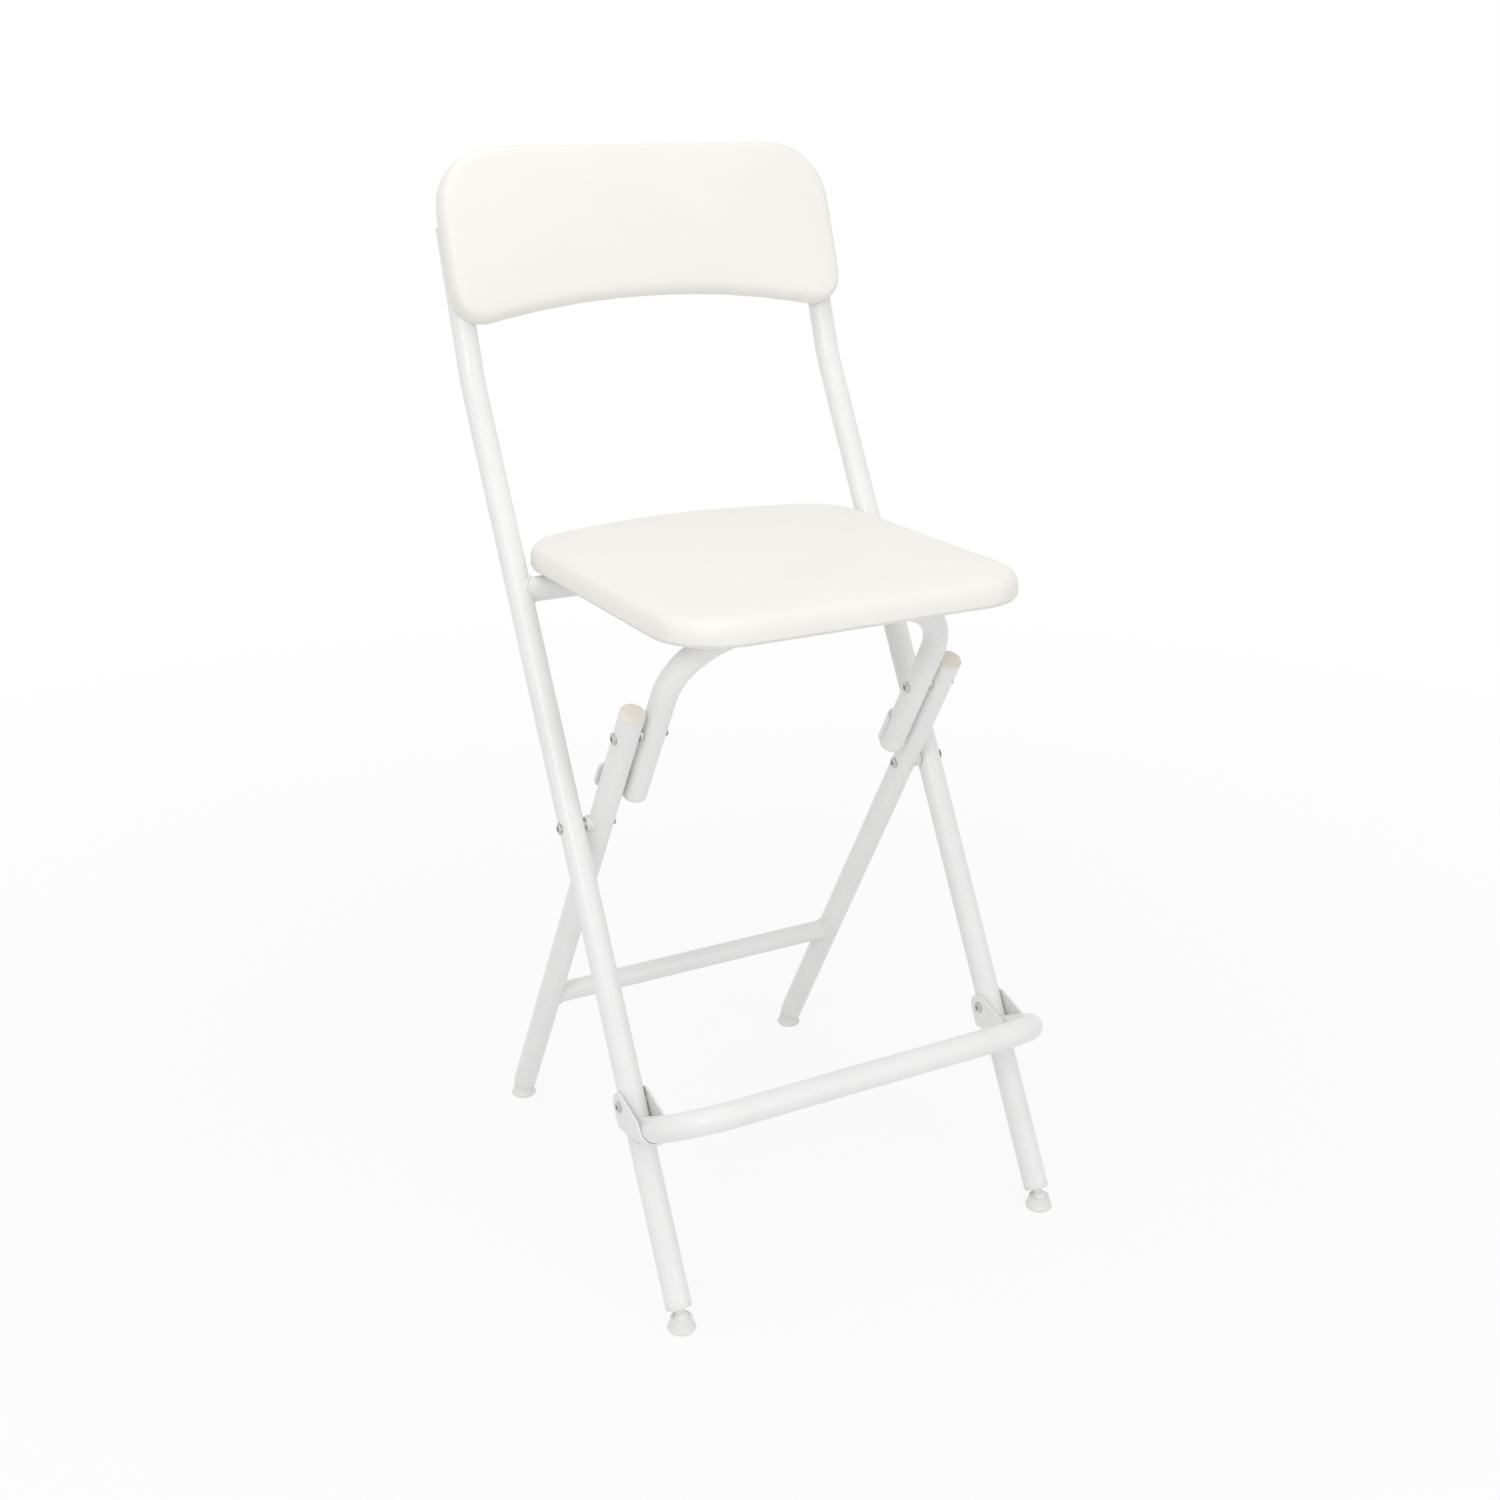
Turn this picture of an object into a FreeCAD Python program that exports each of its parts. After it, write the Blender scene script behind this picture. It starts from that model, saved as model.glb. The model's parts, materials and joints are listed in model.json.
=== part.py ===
import FreeCAD, Part
import math
import os
import Sketcher

# Folding bar stool, stored standing open. Millimetres, X to the right, Y to the rear, Z up,
# floor at zero. The two long front legs carry the backrest. The rear legs cross them, and the
# tube under the seat front continues the rear legs upwards. When the two joints of that line
# are straight, they lock the stool open.

X_AXIS = FreeCAD.Vector(1, 0, 0)
SIDES = ((-1, "left"), (1, "right"))
FULL_TURN = 360
HALF_TURN = 180
QUARTER_TURN = 90
HEXAGON = 6
SAME_PLACE = 0.01

doc = FreeCAD.newDocument("FoldingBarStool")
sheet = doc.addObject("Spreadsheet::Sheet", "sizes")
aliases = []


# Write one driving size into the sheet and return it as a number
def set_size(alias, value):
    aliases.append(alias)
    row = len(aliases)
    sheet.set("A%d" % row, alias)
    sheet.set("B%d" % row, str(value))
    sheet.setAlias("B%d" % row, alias)
    doc.recompute()
    return float(getattr(sheet, alias))


# Tubes
tube_radius = set_size("tube_radius", 11)
tube_bore = set_size("tube_bore", 9.6)
crossbar_radius = set_size("crossbar_radius", 9.5)
crossbar_bore = set_size("crossbar_bore", 8.1)
weld_gap = set_size("weld_gap", 0.1)

# Linkage: leans are measured from the vertical, links between joint axes
lean_front = set_size("lean_front", 28.7)
lean_rear = set_size("lean_rear", 30.2)
lean_back = set_size("lean_back", 19)
toggle_link = set_size("toggle_link", 107.8)
seat_link = set_size("seat_link", "=toggle_link / cos((lean_front + lean_rear) * 1 deg)")
crossing_depth = set_size("crossing_depth", -15.3)
crossing_height = set_size("crossing_height", 371.7)

# Half distances from the middle plane to the three pairs of tubes, one inside the other
front_half = set_size("front_half", 181.3)
lower_joint_gap = set_size("lower_joint_gap", 5.3)
upper_joint_gap = set_size("upper_joint_gap", 2.5)
rear_half = set_size("rear_half", "=front_half - 2 * tube_radius - lower_joint_gap")
seat_tube_half = set_size("seat_tube_half", "=rear_half - 2 * tube_radius - upper_joint_gap")

# Long legs and backrest
bend_distance = set_size("bend_distance", 399.4)
bend_radius = set_size("bend_radius", 120)
leg_above_bend = set_size("leg_above_bend", 135)
backrest_gap = set_size("backrest_gap", 0.2)
backrest_bottom_height = set_size("backrest_bottom_height", 41.7)
backrest_height = set_size("backrest_height", 160.7)
backrest_overhang = set_size("backrest_overhang", 11.2)
backrest_half = set_size("backrest_half", "=front_half + backrest_overhang")
backrest_top_radius = set_size("backrest_top_radius", 58)
backrest_low_radius = set_size("backrest_low_radius", 27)
backrest_arch_slope = set_size("backrest_arch_slope", 0.2)
backrest_arch_straight = set_size("backrest_arch_straight", 7.4)
backrest_board_thickness = set_size("backrest_board_thickness", 6)
backrest_thickness = set_size("backrest_thickness", 19)
backrest_edge_radius = set_size("backrest_edge_radius", 7)
cover_wrap = set_size("cover_wrap", 1.5)
cover_lip = set_size("cover_lip", 2)
cover_fit = set_size("cover_fit", 0.1)

# Seat
board_over_tube = set_size("board_over_tube", 0.6)
seat_side_gap = set_size("seat_side_gap", 4.3)
seat_half = set_size("seat_half", "=front_half - tube_radius - seat_side_gap")
seat_front = set_size("seat_front", -199.8)
seat_apex = set_size("seat_apex", 171.2)
seat_bow_slope = set_size("seat_bow_slope", 0.27)
seat_bow_radius = set_size("seat_bow_radius", 380)
seat_corner_radius = set_size("seat_corner_radius", 57)
seat_board_thickness = set_size("seat_board_thickness", 9)
seat_thickness = set_size("seat_thickness", 24)
seat_edge_radius = set_size("seat_edge_radius", 11)

# Seat tube
seat_tube_bend = set_size("seat_tube_bend", 65.4)
seat_tube_tail = set_size("seat_tube_tail", 76)
plate_high = set_size("plate_high", 44)
plate_low = set_size("plate_low", 73)
plate_wrap = set_size("plate_wrap", 75)
plate_inset = set_size("plate_inset", 1.7)
plate_thickness = set_size("plate_thickness", 2.6)
plate_gap = set_size("plate_gap", 0.2)
plate_corner = set_size("plate_corner", 6)

# Rear legs
rear_top = set_size("rear_top", 26)
crossbar_height = set_size("crossbar_height", 146.8)
crossbar_distance = set_size("crossbar_distance",
                             "=(crossing_height - crossbar_height) / cos(lean_rear * 1 deg)")

# Footrest
footrest_height = set_size("footrest_height", 145.2)
footrest_distance = set_size("footrest_distance",
                             "=(crossing_height - footrest_height) / cos(lean_front * 1 deg)")
footrest_reach = set_size("footrest_reach", 92.3)
footrest_bend = set_size("footrest_bend", 52)
footrest_stop_gap = set_size("footrest_stop_gap", 0.3)
bolt_above_footrest = set_size("bolt_above_footrest", 22.5)
sheet_thickness = set_size("sheet_thickness", 2)
sheet_gap = set_size("sheet_gap", 0.3)

# Footrest bracket seen from the side: distances behind, in front of and below its bolt
bracket_eye = set_size("bracket_eye", 11.7)
bracket_eye_drop = set_size("bracket_eye_drop", 16.5)
bracket_nose = set_size("bracket_nose", 31)
bracket_nose_radius = set_size("bracket_nose_radius", 6)
bracket_toe = set_size("bracket_toe", 35)
bracket_toe_radius = set_size("bracket_toe_radius", 1.5)
bracket_heel = set_size("bracket_heel", 24)
bracket_heel_height = set_size("bracket_heel_height", 7)
bracket_heel_radius = set_size("bracket_heel_radius", 1)
bracket_waist = set_size("bracket_waist", 7.5)
bracket_waist_drop = set_size("bracket_waist_drop", 25.7)
bracket_waist_radius = set_size("bracket_waist_radius", 10)
bracket_step = set_size("bracket_step", 2.9)
bracket_step_drop = set_size("bracket_step_drop", 19.3)
bracket_step_radius = set_size("bracket_step_radius", 5)
bracket_corner_radius = set_size("bracket_corner_radius", 3)

# Fasteners: a bolt screws into a sleeve nut, and both have a low head with a hexagon socket
bolt_radius = set_size("bolt_radius", 3)
bolt_length = set_size("bolt_length", 12)
sleeve_radius = set_size("sleeve_radius", 4)
sleeve_end_gap = set_size("sleeve_end_gap", 1)
head_radius = set_size("head_radius", 5)
head_thickness = set_size("head_thickness", 2.2)
head_edge = set_size("head_edge", 0.8)
socket_radius = set_size("socket_radius", 2.5)
socket_depth = set_size("socket_depth", 1.6)
running_gap = set_size("running_gap", 0.05)
face_gap = set_size("face_gap", 0.1)
thread_fit = set_size("thread_fit", 0.02)
spacer_radius = set_size("spacer_radius", 6.5)
spacer_flange_radius = set_size("spacer_flange_radius", 7.2)
spacer_flange = set_size("spacer_flange", 1.4)
washer_radius = set_size("washer_radius", 5.6)
washer_thickness = set_size("washer_thickness", 1)
screw_radius = set_size("screw_radius", 2.4)
screw_head_radius = set_size("screw_head_radius", 4.6)
screw_head_thickness = set_size("screw_head_thickness", 2.2)
screw_head_edge = set_size("screw_head_edge", 0.9)
screw_flat_radius = set_size("screw_flat_radius", 2.5)
screw_depth = set_size("screw_depth", 4.5)
screw_hole_gap = set_size("screw_hole_gap", 0.02)
low_screw = set_size("low_screw", 36)
high_screw = set_size("high_screw", 76)

# Seat fittings
clip_half_distance = set_size("clip_half_distance", 45)
clip_width = set_size("clip_width", 24)
clip_reach = set_size("clip_reach", 27)
clip_screw = set_size("clip_screw", 20)
saddle_inset = set_size("saddle_inset", 50)
saddle_half_distance = set_size("saddle_half_distance", "=seat_half - saddle_inset")
saddle_width = set_size("saddle_width", 44)
saddle_reach = set_size("saddle_reach", 30)
saddle_screw = set_size("saddle_screw", 23)
saddle_flange = set_size("saddle_flange", 3)
saddle_wrap = set_size("saddle_wrap", 60)

# Plugs, caps and glides
plug_fit = set_size("plug_fit", 0.1)
plug_depth = set_size("plug_depth", 14)
cap_side = set_size("cap_side", 1.4)
cap_edge = set_size("cap_edge", 1.2)
cap_crown = set_size("cap_crown", 0.5)
tail_cap_side = set_size("tail_cap_side", 0.6)
tail_cap_edge = set_size("tail_cap_edge", 2.4)
foot_rim = set_size("foot_rim", 4)
foot_edge = set_size("foot_edge", 0.6)
ball_radius = set_size("ball_radius", 6.75)
ball_neck_radius = set_size("ball_neck_radius", 3.7)
neck_top_radius = set_size("neck_top_radius", 5.8)
ball_to_rim = set_size("ball_to_rim", 9.1)
ball_height = set_size("ball_height", 9)
ball_gap = set_size("ball_gap", 0.1)
glide_base_radius = set_size("glide_base_radius", 12)
glide_top_radius = set_size("glide_top_radius", 9.4)
glide_height = set_size("glide_height", 11.5)
glide_base_edge = set_size("glide_base_edge", 2.6)
glide_top_edge = set_size("glide_top_edge", 0.9)
glide_waist = set_size("glide_waist", 0.6)


# Unit vector along a tube that leans back by the given angle
def direction(lean):
    return FreeCAD.Vector(0, math.sin(math.radians(lean)), math.cos(math.radians(lean)))


# World position of a point given in a frame that leans back by the angle
def place(origin, lean, x=0, y=0, z=0):
    return origin + FreeCAD.Rotation(X_AXIS, -lean).multVec(FreeCAD.Vector(x, y, z))


# Joint axes, all parallel to X
crossing = FreeCAD.Vector(0, crossing_depth, crossing_height)
toggle = crossing + direction(-lean_rear) * toggle_link
seat_front_axis = crossing + direction(-lean_rear) * (2 * toggle_link)
seat_rear_axis = crossing + direction(lean_front) * seat_link
leg_bend = crossing + direction(lean_front) * bend_distance
seat_underside = seat_front_axis.z + tube_radius + board_over_tube
end_to_ball = ball_to_rim + foot_rim
front_end_distance = (crossing_height - ball_height) / math.cos(math.radians(lean_front)) - end_to_ball
rear_end_distance = (crossing_height - ball_height) / math.cos(math.radians(lean_rear)) - end_to_ball
bend_turn = lean_front - lean_back


# A body whose own Z axis leans back by the angle
def make_body(label, position, lean=0, several_solids=False):
    body = doc.addObject("PartDesign::Body", label)
    body.Label = label
    body.AllowCompound = several_solids
    body.Placement = FreeCAD.Placement(position, FreeCAD.Rotation(X_AXIS, -lean))
    return body


def origin_plane(body, role):
    return [feature for feature in body.Origin.OriginFeatures if feature.Role == role][0]


# A sketch on an origin plane, moved off it, up it and turned about its own X axis
def make_sketch(body, name, plane, offset=0, shift=0, turn=0):
    sketch = body.newObject("Sketcher::SketchObject", name)
    sketch.AttachmentSupport = (origin_plane(body, plane), "")
    sketch.MapMode = "FlatFace"
    sketch.AttachmentOffset = FreeCAD.Placement(
        FreeCAD.Vector(0, shift, offset), FreeCAD.Rotation(X_AXIS, turn)
    )
    return sketch


def flat(x, y):
    return FreeCAD.Vector(x, y, 0)


# Draw lines (x, y) and arcs (via x, via y, x, y) one after another
def add_path(sketch, start, steps, closed):
    point = start
    curves = []
    for step in steps:
        end = (step[-2], step[-1])
        if len(step) == 2:
            curve = Part.LineSegment(flat(*point), flat(*end))
        else:
            curve = Part.Arc(flat(*point), flat(step[0], step[1]), flat(*end))
        curves.append(sketch.addGeometry(curve, False))
        point = end
    for first, second in zip(curves, curves[1:]):
        connect(sketch, first, second)
    if closed:
        connect(sketch, curves[-1], curves[0])


# Make the touching ends of two neighbouring curves coincident
def connect(sketch, first, second):
    ends = [(here, there) for here in (1, 2) for there in (1, 2)]
    here, there = min(ends, key=lambda pair: sketch.getPoint(first, pair[0]).distanceToPoint(
        sketch.getPoint(second, pair[1])))
    sketch.addConstraint(Sketcher.Constraint("Coincident", first, here, second, there))


# Start point and steps of a closed outline from (x, y, radius) corners
def rounded_steps(corners):
    steps = []
    start = None
    count = len(corners)
    for index in range(count):
        before = flat(*corners[index - 1][:2])
        corner = flat(*corners[index][:2])
        after = flat(*corners[(index + 1) % count][:2])
        radius = corners[index][2]
        to_before = (before - corner).normalize()
        to_after = (after - corner).normalize()
        half_angle = to_before.getAngle(to_after) / 2
        if radius == 0:
            first = last = corner
        else:
            reach = radius / math.tan(half_angle)
            first = corner + to_before * reach
            last = corner + to_after * reach
            bisector = (to_before + to_after).normalize()
            middle = corner + bisector * (radius / math.sin(half_angle) - radius)
        if start is None:
            start = (first.x, first.y)
        else:
            steps.append((first.x, first.y))
        if radius != 0:
            steps.append((middle.x, middle.y, last.x, last.y))
    steps.append(start)
    return start, steps


def add_outline(sketch, corners):
    start, steps = rounded_steps(corners)
    add_path(sketch, start, steps, True)


# A circle whose radius can follow a sheet size, fixed in place by constraints
def add_circle(sketch, x, y, radius, alias=None):
    circle = sketch.addGeometry(Part.Circle(flat(x, y), FreeCAD.Vector(0, 0, 1), radius), False)
    rule = sketch.addConstraint(Sketcher.Constraint("Radius", circle, radius))
    if alias is not None:
        sketch.setExpression("Constraints[%d]" % rule, "sizes.%s" % alias)
    if x == 0 and y == 0:
        sketch.addConstraint(Sketcher.Constraint("Coincident", circle, 3, -1, 1))
    else:
        sketch.addConstraint(Sketcher.Constraint("DistanceX", -1, 1, circle, 3, x))
        sketch.addConstraint(Sketcher.Constraint("DistanceY", -1, 1, circle, 3, y))


def tube_section(body, plane, outer="tube_radius", bore="tube_bore"):
    sketch = make_sketch(body, "tube_section", plane)
    add_circle(sketch, 0, 0, float(getattr(sheet, outer)), outer)
    add_circle(sketch, 0, 0, float(getattr(sheet, bore)), bore)
    return sketch


def add_pad(body, sketch, length, symmetric=False, alias=None):
    pad = body.newObject("PartDesign::Pad", "pad")
    pad.Profile = sketch
    pad.Length = length
    if symmetric:
        pad.SideType = "Symmetric"
    if alias is not None:
        pad.setExpression("Length", alias)
    finish_feature(body, pad)
    return pad


# Cut to a depth, or through everything on both sides of the sketch
def add_pocket(body, sketch, depth=None, reverse=False):
    before = body.Shape.Volume
    pocket = body.newObject("PartDesign::Pocket", "cut")
    pocket.Profile = sketch
    if depth is None:
        pocket.SideType = "Symmetric"
        pocket.Type = "ThroughAll"
    else:
        pocket.Length = depth
        pocket.Reversed = reverse
    finish_feature(body, pocket)
    if body.Shape.Volume >= before:
        raise RuntimeError("%s: the cut removed nothing" % body.Label)
    return pocket


def add_pipe(body, section, path):
    pipe = body.newObject("PartDesign::AdditivePipe", "pipe")
    pipe.Profile = section
    pipe.Spine = path
    finish_feature(body, pipe)
    return pipe


def add_revolution(body, sketch, axis):
    revolution = body.newObject("PartDesign::Revolution", "turned")
    revolution.Profile = sketch
    revolution.ReferenceAxis = (sketch, [axis])
    revolution.Angle = FULL_TURN
    finish_feature(body, revolution)
    return revolution


# Repeat features on the other side of each origin plane named
def add_mirrors(body, features, planes):
    mirrors = []
    for plane in planes:
        mirror = body.newObject("PartDesign::Mirrored", "mirror")
        mirror.MirrorPlane = (origin_plane(body, plane), [""])
        mirrors.append(mirror)
    if len(mirrors) == 1:
        mirrors[0].Originals = features
        finish_feature(body, mirrors[0])
    else:
        together = body.newObject("PartDesign::MultiTransform", "mirrors")
        together.Originals = features
        together.Transformations = mirrors
        finish_feature(body, together)


def finish_feature(body, feature):
    body.Tip = feature
    doc.recompute()
    if "Up-to-date" not in feature.State:
        raise RuntimeError("%s: %s is %s" % (body.Label, feature.Name, feature.State))


# Round the edges of the face that lies furthest along the axis, or only those along one direction
def fillet_far_edges(body, axis, radius, along=None):
    base = body.Tip
    shape = base.Shape
    furthest = max(vertex.Point.dot(axis) for vertex in shape.Vertexes)
    names = []
    for number, edge in enumerate(shape.Edges, 1):
        if any(abs(vertex.Point.dot(axis) - furthest) > SAME_PLACE for vertex in edge.Vertexes):
            continue
        if along is None or abs(edge.tangentAt(edge.FirstParameter).dot(along)) > 1 - SAME_PLACE:
            names.append("Edge%d" % number)
    fillet = body.newObject("PartDesign::Fillet", "soft_edge")
    fillet.Base = (base, names)
    fillet.Radius = radius
    finish_feature(body, fillet)


# Through holes (x, y, radius) square to an origin plane
def drill(body, holes, plane="YZ_Plane", alias=None):
    sketch = make_sketch(body, "holes", plane)
    for x, y, radius in holes:
        add_circle(sketch, x, y, radius, alias)
    add_pocket(body, sketch)


pivot_hole = sleeve_radius + running_gap
screw_hole = screw_radius + screw_hole_gap


# Long legs: straight from the foot up to a gentle bend, then on behind the backrest
upper_screws = (backrest_bottom_height + low_screw, backrest_bottom_height + high_screw)


def make_long_leg(side, name):
    body = make_body("long_leg_" + name, place(crossing, lean_front, side * front_half, 0,
                                               -front_end_distance), lean_front)
    bend_height = front_end_distance + bend_distance
    turn = math.radians(bend_turn)
    straight = bend_radius * math.tan(turn / 2)
    arc_start = bend_height - straight
    path = make_sketch(body, "tube_path", "YZ_Plane")
    add_path(path, (0, 0), [
        (0, arc_start),
        (bend_radius * (math.cos(turn / 2) - 1), arc_start + bend_radius * math.sin(turn / 2),
         bend_radius * (math.cos(turn) - 1), arc_start + bend_radius * math.sin(turn)),
        (-leg_above_bend * math.sin(turn), bend_height + leg_above_bend * math.cos(turn)),
    ], False)
    add_pipe(body, tube_section(body, "XY_Plane"), path)
    drill(body, [(0, front_end_distance, pivot_hole),
                 (0, front_end_distance - footrest_distance + bolt_above_footrest, pivot_hole)])
    sketch = make_sketch(body, "backrest_holes", "XZ_Plane", 0, bend_height, bend_turn)
    for height in upper_screws:
        add_circle(sketch, 0, height, screw_hole)
    add_pocket(body, sketch)


for side, name in SIDES:
    make_long_leg(side, name)


# A round tube between two leaning legs, its ends cut to sit round them
def make_cross_tube(label, axis_point, lean, half, outer, bore):
    body = make_body(label, axis_point, lean)
    add_pad(body, tube_section(body, "YZ_Plane", outer, bore), 2 * half, True)
    ends = make_sketch(body, "leg_seats", "XY_Plane")
    add_circle(ends, half, 0, tube_radius + weld_gap)
    add_circle(ends, -half, 0, tube_radius + weld_gap)
    add_pocket(body, ends)


make_cross_tube("seat_cross_tube", seat_rear_axis, lean_front, front_half, "tube_radius", "tube_bore")
make_cross_tube("rear_crossbar", place(crossing, -lean_rear, 0, 0, -crossbar_distance), -lean_rear,
                rear_half, "crossbar_radius", "crossbar_bore")


# Rear legs: straight tubes from the rear feet to a capped end just above the locking joint
def make_rear_leg(side, name):
    start = place(crossing, -lean_rear, side * rear_half, 0, -rear_end_distance)
    body = make_body("rear_leg_" + name, start, -lean_rear)
    length = rear_end_distance + toggle_link + rear_top
    add_pad(body, tube_section(body, "XY_Plane"), length)
    drill(body, [(0, rear_end_distance, pivot_hole),
                 (0, rear_end_distance + toggle_link, pivot_hole)])


for side, name in SIDES:
    make_rear_leg(side, name)


# Seat tube: an upright U turned over, its legs in line with the rear legs
def make_seat_tube():
    start = place(toggle, -lean_rear, -seat_tube_half, 0, -seat_tube_tail)
    body = make_body("seat_tube", start, -lean_rear)
    width = 2 * seat_tube_half
    top = seat_tube_tail + toggle_link
    knee = seat_tube_bend * (1 - math.sqrt(0.5))
    path = make_sketch(body, "tube_path", "XZ_Plane")
    add_path(path, (0, 0), [
        (0, top - seat_tube_bend),
        (knee, top - knee, seat_tube_bend, top),
        (width - seat_tube_bend, top),
        (width - knee, top - knee, width, top - seat_tube_bend),
        (width, 0),
    ], False)
    add_pipe(body, tube_section(body, "XY_Plane"), path)
    drill(body, [(0, seat_tube_tail, pivot_hole)])


make_seat_tube()


# Stop plates: sheet wrapped and welded round the back of the seat tube legs. It bears on the
# back of the rear legs when the stool is locked
def make_stop_plate(side, name):
    body = make_body("stop_plate_" + name, place(toggle, -lean_rear), -lean_rear)
    inner = tube_radius + plate_gap
    outer = inner + plate_thickness
    wrap = math.radians(plate_wrap)
    end = rear_half + tube_radius - plate_inset

    def around(radius, angle):
        return side * (seat_tube_half - radius * math.sin(angle)), radius * math.cos(angle)

    sketch = make_sketch(body, "plate_section", "XY_Plane", -plate_low)
    add_path(sketch, around(inner, wrap), [
        around(inner, wrap / 2) + around(inner, 0),
        (side * end, inner),
        (side * end, outer),
        around(outer, 0),
        around(outer, wrap / 2) + around(outer, wrap),
        around(inner, wrap),
    ], True)
    add_pad(body, sketch, plate_low - plate_high)
    fillet_far_edges(body, X_AXIS * side, plate_corner, FreeCAD.Vector(0, 1, 0))


for side, name in SIDES:
    make_stop_plate(side, name)


# Middle of the arc from the rim of a round dome to its top: radius and height there
def dome_middle(radius, height):
    sphere = (radius ** 2 + height ** 2) / (2 * height)
    half_angle = math.asin(radius / sphere) / 2
    return sphere * math.sin(half_angle), height - sphere + sphere * math.cos(half_angle)


# Step of a quarter round corner of one radius, from the side to the top of a turned section
def corner_step(x, y, radius):
    bulge = radius * math.sqrt(0.5)
    return x - radius + bulge, y + bulge, x - radius, y + radius


# A plastic end cap: plug inside the tube, round-edged rim on its end, faintly crowned top
def make_cap(label, position, lean, rim, edge):
    body = make_body(label, position, lean)
    sketch = make_sketch(body, "cap_section", "XZ_Plane")
    plug = tube_bore - plug_fit
    across, up = dome_middle(tube_radius - edge, cap_crown)
    add_path(sketch, (0, -plug_depth), [
        (plug - plug_fit, -plug_depth),
        (plug, -plug_depth + plug_fit),
        (plug, 0),
        (tube_radius, 0),
        (tube_radius, rim),
        corner_step(tube_radius, rim, edge),
        (across, rim + edge + up, 0, rim + edge + cap_crown),
        (0, -plug_depth),
    ], True)
    add_revolution(body, sketch, "V_Axis")


leg_top = leg_bend + direction(lean_back) * leg_above_bend
for side, name in SIDES:
    make_cap("leg_top_cap_" + name, place(leg_top, lean_back, side * front_half), lean_back,
             cap_side, cap_edge)
    make_cap("rear_leg_cap_" + name, place(toggle, -lean_rear, side * rear_half, 0, rear_top),
             -lean_rear, cap_side, cap_edge)
    make_cap("seat_tube_cap_" + name,
             place(toggle, -lean_rear, side * seat_tube_half, 0, -seat_tube_tail),
             HALF_TURN - lean_rear, tail_cap_side, tail_cap_edge)


# Point on a circle in a turned section, at a share of a quarter turn up from level
def on_circle(radius, share):
    angle = math.radians(QUARTER_TURN * share)
    return radius * math.cos(angle), radius * math.sin(angle)


# Feet: a plug with a ball under each tube, and a cup that swivels on the ball
def make_foot_plug(label, position, lean):
    body = make_body(label, position, lean)
    sketch = make_sketch(body, "foot_section", "XZ_Plane")
    plug = tube_bore - plug_fit
    neck_share = math.degrees(math.acos(ball_neck_radius / ball_radius)) / QUARTER_TURN
    add_path(sketch, (0, -ball_radius), [
        on_circle(ball_radius, -0.5) + (ball_radius, 0),
        on_circle(ball_radius, neck_share / 2) + on_circle(ball_radius, neck_share),
        (neck_top_radius, ball_to_rim),
        (tube_radius - foot_edge, ball_to_rim),
        (tube_radius, ball_to_rim + foot_edge),
        (tube_radius, end_to_ball),
        (plug, end_to_ball),
        (plug, end_to_ball + plug_depth),
        (0, end_to_ball + plug_depth),
        (0, -ball_radius),
    ], True)
    add_revolution(body, sketch, "V_Axis")


def make_glide(label, position):
    body = make_body(label, position)
    sketch = make_sketch(body, "glide_section", "XZ_Plane")
    socket = ball_radius + ball_gap
    lip_height = glide_height - ball_height
    lip_share = math.degrees(math.asin(lip_height / socket)) / QUARTER_TURN
    side_start = glide_base_edge - ball_height
    side_end = lip_height - glide_top_edge
    base_bulge = glide_base_edge * (1 - math.sqrt(0.5))
    add_path(sketch, (0, -ball_height), [
        (glide_base_radius - glide_base_edge, -ball_height),
        (glide_base_radius - base_bulge, base_bulge - ball_height, glide_base_radius, side_start),
        ((glide_base_radius + glide_top_radius) / 2 - glide_waist, (side_start + side_end) / 2,
         glide_top_radius, side_end),
        corner_step(glide_top_radius, side_end, glide_top_edge),
        on_circle(socket, lip_share),
        on_circle(socket, lip_share / 2) + (socket, 0),
        on_circle(socket, -0.5) + (0, -socket),
        (0, -ball_height),
    ], True)
    add_revolution(body, sketch, "V_Axis")


for side, name in SIDES:
    front_ball = place(crossing, lean_front, side * front_half, 0, -front_end_distance - end_to_ball)
    rear_ball = place(crossing, -lean_rear, side * rear_half, 0, -rear_end_distance - end_to_ball)
    make_foot_plug("front_foot_plug_" + name, front_ball, lean_front)
    make_foot_plug("rear_foot_plug_" + name, rear_ball, -lean_rear)
    make_glide("front_glide_" + name, front_ball)
    make_glide("rear_glide_" + name, rear_ball)


# Footrest: a U of tube that stands square to the long legs on two stamped saddle brackets
def make_footrest_bar():
    rear_end = tube_radius + footrest_stop_gap
    start = place(crossing, lean_front, -front_half, -rear_end, -footrest_distance)
    body = make_body("footrest_bar", start, lean_front)
    width = 2 * front_half
    reach = footrest_reach - rear_end
    knee = footrest_bend * (1 - math.sqrt(0.5))
    path = make_sketch(body, "tube_path", "XY_Plane")
    add_path(path, (0, 0), [
        (0, footrest_bend - reach),
        (knee, knee - reach, footrest_bend, -reach),
        (width - footrest_bend, -reach),
        (width - knee, knee - reach, width, footrest_bend - reach),
        (width, 0),
    ], False)
    add_pipe(body, tube_section(body, "XZ_Plane"), path)


make_footrest_bar()


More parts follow.
